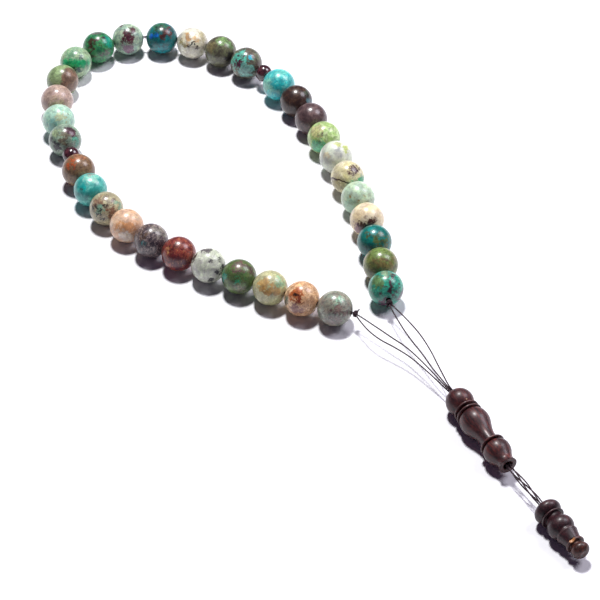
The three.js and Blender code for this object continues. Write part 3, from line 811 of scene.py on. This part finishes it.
def wood_finish(name, mouth, turn, tones, rims, seed, rim_shine_and_wear=0.5, bare=()):
    """Dark turned hardwood: streaks and pores along the axis, lathe rings, rims painted lighter
    as real wear and as painted highlight, and bare spots of [place, reach, colour]."""
    dark, middle_tone, warm = (tint(t) for t in tones)
    finish = Finish(name, IOR=1.42, Coat_Weight=0.3, Coat_Roughness=0.27)
    place = finish.node("ShaderNodeTexCoord", {}, {}, "Object")
    back = Matrix.Rotation(-turn, 3, "Z")
    to_axis = {
        "Vector": place, "Location": -(back @ mouth) / MM, "Rotation": (0, 0, -turn),
        "Scale": (1 / MM,) * 3,
    }
    here = finish.node("ShaderNodeMapping", {}, to_axis)
    parts = {"Vector": here}
    across = finish.node("ShaderNodeSeparateXYZ", {}, parts, "X")
    along = finish.node("ShaderNodeSeparateXYZ", {}, parts, "Y") * -1.0
    up = finish.node("ShaderNodeSeparateXYZ", {}, parts, "Z")
    shifted = here + (seed * 3.7, seed * 1.9, seed * 2.3)
    bend = finish.noise(shifted * (0.25, 0.12, 0.25), 1.0, 3, output=1) - 0.5
    fibre = shifted + bend * 1.4
    streak = finish.noise(fibre * (1.5, 0.07, 1.5), 1.0, 6, 0.62)
    hair = finish.noise(fibre * (6.5, 0.35, 6.5), 1.0, 4, 0.6)
    pore = finish.noise(fibre * (9.0, 0.9, 9.0), 1.3, 2, 0.5)
    tone = finish.mix(finish.fade(streak, 0.36, 0.60), dark, middle_tone)
    tone = finish.mix(finish.fade(streak, 0.52, 0.72) * 0.8, tone, warm)
    tone = finish.mix(finish.fade(hair, 0.5, 0.75) * 0.35, tone, warm)
    pores = finish.fade(pore, 0.60, 0.70)
    tone = finish.mix(pores * 0.55, tone, tint("0c0809"))
    radius = finish.node(
        "ShaderNodeMath", {"operation": "SQRT"}, {0: across * across + up * up},
    )
    rim_wear_and_highlight = 0.0
    for start, end, edge in rims:
        band = finish.fade(along, start - 0.05, start + 0.02)
        band = band * (1 - finish.fade(along, end - 0.02, end + 0.05))
        rim_wear_and_highlight = band * finish.fade(radius, edge - 0.3, edge) + rim_wear_and_highlight
    rim_wear_and_highlight = rim_wear_and_highlight * (0.2 + hair * 0.9) * rim_shine_and_wear
    # The rims' outer edges are painted lighter in 6f5250: partly real wear, partly painted
    # highlight where light catches them.
    tone = finish.mix(rim_wear_and_highlight, tone, tint("6f5250"))
    for spot, reach, colour in bare:
        settings = {"operation": "DISTANCE"}
        gap = finish.node("ShaderNodeVectorMath", settings, {0: place, 1: spot}, "Value")
        gap = gap * (1 / reach) + (hair - 0.5) * 0.9
        tone = finish.mix(1 - finish.fade(gap, 0.6, 0.95), tone, tint(colour))
    rings = finish.noise(finish.node(
        "ShaderNodeCombineXYZ", {}, {"X": 0.0, "Y": along, "Z": radius * 0.3},
    ), 7.0, 3, 0.7)
    finish.drive("Base Color", tone)
    finish.drive("Roughness", 0.4 + hair * 0.16 + pores * 0.2)
    height = rings * 0.35 + hair * 0.25 - pores * 0.8
    finish.bump(height, 0.00005, 0.55)
    return finish.material


imame_mouth = Vector((IMAME_AXIS, MOUTH_Y, IMAME_RISE))
knot_hole = imame_mouth + Vector((0.63, -6.2, 2.98)) * MM
imame_finish = wood_finish(
    "imame_wood", imame_mouth, 0.0, ("200a10", "461a1d", "7a3326"),
    [(7.2, 7.8, 3.62), (8.75, 9.35, 3.72), (21.3, 21.95, 3.5)], 1.0,
    bare=[(knot_hole, 0.0003, "a8866c")],
)
piece = turn_profile("turned_imame", imame_profile, imame_mouth, Vector((0, -1, 0)),
                     IMAME_SIDES, imame_finish)
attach(piece, "imame")
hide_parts("imame")


# ==== Lower strands ===========================================================================
# The four strands leave the imame's foot, turn loosely about one another and go into the end
# drop, where they are knotted together.
LOWER_GAP = 16.0              # from the imame's foot to the drop, in millimetres like the rest
LOWER_TURN = math.pi
LOWER_SPREAD = 0.45
IN_IMAME = (-3.3, -16.5, -29.4)
DROP_YAW = math.radians(2.8)
DROP_SIDE = 1.1
DROP_RISE = 3.65
DROP_KNOT_TOP = 6.25
GATHERED = 0.9                # how close together the strands enter the last knot
drop_mouth = in_row(DROP_SIDE, -IMAME_LENGTH - LOWER_GAP, DROP_RISE * MM)
drop_way = Vector((math.sin(DROP_YAW), -math.cos(DROP_YAW), 0))
drop_across = Vector((math.cos(DROP_YAW), math.sin(DROP_YAW), 0))


def in_drop(x, s, z):
    """A place in the end drop: across, down from its mouth, and up, in millimetres."""
    return drop_mouth + (drop_across * x + drop_way * s) * MM + Vector((0, 0, z * MM))


def turned_to(side, rise, share):
    """Where a strand has turned to, round the four, at a share of the way to the drop."""
    a = math.atan2(rise, side) + LOWER_TURN * share
    out = math.hypot(side, rise) * (1 + LOWER_SPREAD * math.sin(math.pi * share))
    return out * math.cos(a), out * math.sin(a)


for name, strand in UPPER.items():
    side, rise = strand["side"] * STRAND_HALF, strand["rise"] * STRAND_HALF
    points = [in_row(side, y, IMAME_RISE + rise * MM) for y in IN_IMAME]
    for share in (0.25, 0.5, 0.75):
        x, z = turned_to(side, rise, share)
        across, down = x + DROP_SIDE * share, -IMAME_LENGTH - LOWER_GAP * share
        lie = IMAME_RISE + (DROP_RISE * MM - IMAME_RISE) * share
        points.append(in_row(across, down, lie + z * MM))
    x, z = turned_to(side, rise, 1)
    points += [in_drop(x, 0.3, z), in_drop(x, DROP_KNOT_TOP - 1.8, z)]
    points.append(in_drop(x * GATHERED, DROP_KNOT_TOP - 0.15, z * GATHERED))
    line = smooth_line(points, STRAND_STEP)
    piece = cord_piece("strand_to_drop_" + name, [line])
    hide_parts("lower_strand_" + name)
    length_of(line)
    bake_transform(piece)


# ==== End drop ================================================================================
# A small turned drop of the same wood ends the string. Its body is hollowed from below for the
# last knot, and a turned plug with a ring and a button closes it.
DROP_SIDES = 104
SEAM = 14.5                   # down from the mouth, in millimetres
CAVITY = 1.65                 # the hollow's radius, in millimetres
LAST_KNOT_SIZE = 1.15         # beside an end knot
CHIP_REACH = 0.0008
CHIP_DEPTH = 0.00045
BARE_REACH = 0.0011           # of the paler wood round the chip
last_knot = middle("drop_knot")
tie_knot("last_knot", "drop_knot", last_knot, drop_way,
         [((0.3, 0.2, 0.9), 0.0011), ((-0.6, 0.3, -0.6), 0.0011)], LAST_KNOT_SIZE)

drop_profile = in_metres([
    *swell(2.4, 2.4, 3.7, STRAND_MOUTH / MM, 2.45, 30),
    *turned_ring(4.5, 0.55, 3.25, 2.45),
    (5.45, 2.4), (5.9, 2.5),
    *swell(8.5, 3.1, 3.55, 2.62, 2.6, 26),
    (11.1, 2.55), (11.17, 2.86), (11.3, 2.97), (11.42, 3.0), (11.56, 2.98), (11.72, 2.9),
    *sweep([(12.3, 2.72), (13.2, 2.47), (13.9, 2.3), (14.3, 2.22)], 0.2),
    (14.42, 2.19), (SEAM, 2.12), (SEAM, CAVITY), (6.1, CAVITY), (5.6, WOOD_BORE / MM),
    (0.3, WOOD_BORE / MM),
])
drop_finish = wood_finish(
    "drop_wood", drop_mouth, DROP_YAW, ("1b0911", "36151c", "562428"),
    [(4.5, 5.05, 3.25), (11.15, 11.7, 3.0)], 4.0, 0.35,
)
piece = turn_profile("drop_shell", drop_profile, drop_mouth, drop_way, DROP_SIDES, drop_finish)
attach(piece, "drop")
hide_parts("drop_body")

SPIGOT = CAVITY - 0.1
plug_profile = in_metres([
    (10.5, 0), (10.5, SPIGOT - 0.2), (10.7, SPIGOT), (14.62, SPIGOT), (14.62, 2.38),
    (14.68, 2.46), (14.8, 2.55), (14.97, 2.6), (15.14, 2.58), (15.28, 2.52), (15.37, 2.44),
    (15.42, 2.3), (15.44, 1.78), (15.5, 1.72),
    *swell(17.35, 1.8, 2.45, 1.8, 1.5, 26),
    (18.95, 1.2), (18.97, 0.95), (18.93, 0.7), (18.85, 0.45), (18.8, 0.2), (18.79, 0),
])
chipped = in_drop(-1.15, 15.0, 2.33)
plug_finish = wood_finish(
    "plug_wood", drop_mouth, DROP_YAW, ("260f0c", "472018", "693324"),
    [(14.62, 15.44, 2.6)], 7.0, 0.5, bare=[(chipped, BARE_REACH, "c08454")],
)
inward = (drop_across * 0.44 - Vector((0, 0, 0.9))) * CHIP_DEPTH
piece = turn_profile("drop_stopper", plug_profile, drop_mouth, drop_way, DROP_SIDES, plug_finish,
                     chip=(chipped, CHIP_REACH, inward))
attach(piece, "drop_plug")
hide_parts("drop_plug")


# ==== Table, light and camera =================================================================
# A plain white table under a high lamp behind the string, with a weaker one to the right.
TABLE_TOP = -0.00005
TABLE_SIZE = 3
LAMP_AWAY = 1.0
LENS = 141.435
CAMERA_PLACE = (-0.2062066, -0.4561862, 0.4477786)
CAMERA_TURN = math.radians(-24.7365)
CAMERA_TILT = math.radians(90 - 42.2368)
CAMERA_ROLL = math.radians(-1.3313)
shape = bmesh.new()
bmesh.ops.create_grid(shape, x_segments=1, y_segments=1, size=TABLE_SIZE)
bmesh.ops.translate(shape, verts=shape.verts, vec=(0, 0, TABLE_TOP))
table_mesh = bpy.data.meshes.new("table")
shape.to_mesh(table_mesh)
shape.free()
table = bpy.data.objects.new("table", table_mesh)
bpy.context.scene.collection.objects.link(table)
table_finish = Finish("table_white", Roughness=0.7)
table_finish.drive("Base Color", tint("f6f6fa"))
table_mesh.materials.append(table_finish.material)


def lamp(name, way, width, power, colour=(1, 1, 1)):
    """A round lamp that stands off in the given way and shines at the middle of the table."""
    light = bpy.data.lights.new(name, "AREA")
    light.shape, light.size, light.energy, light.color = "DISK", width, power, colour
    holder = bpy.data.objects.new(name, light)
    way = Vector(way).normalized()
    holder.location = way * LAMP_AWAY
    holder.rotation_euler = (-way).to_track_quat("-Z", "Y").to_euler()
    bpy.context.scene.collection.objects.link(holder)


lamp("high_lamp", (0.12, 0.38, 0.92), width=0.16, power=12)
lamp("side_lamp", (0.672, -0.045, 0.73), width=0.5, power=5.6, colour=(0.93, 0.9, 1.0))

world = bpy.data.worlds.new("studio")
world.use_nodes = True
world.node_tree.nodes["Background"].inputs["Color"].default_value = (0.72, 0.52, 1, 1)
world.node_tree.nodes["Background"].inputs["Strength"].default_value = 0.05
bpy.context.scene.world = world
bpy.context.scene.view_settings.view_transform = "Standard"

lens = bpy.data.cameras.new("camera")
lens.sensor_width = 36
lens.lens = LENS
lens.clip_start, lens.clip_end = 0.02, 20
camera = bpy.data.objects.new("camera", lens)
stand = Matrix.Translation(CAMERA_PLACE) @ Matrix.Rotation(CAMERA_TURN, 4, "Z")
tilt = Matrix.Rotation(CAMERA_TILT, 4, "X")
roll = Matrix.Rotation(CAMERA_ROLL, 4, "Z")
camera.matrix_world = stand @ tilt @ roll
bpy.context.scene.collection.objects.link(camera)
bpy.context.scene.camera = camera
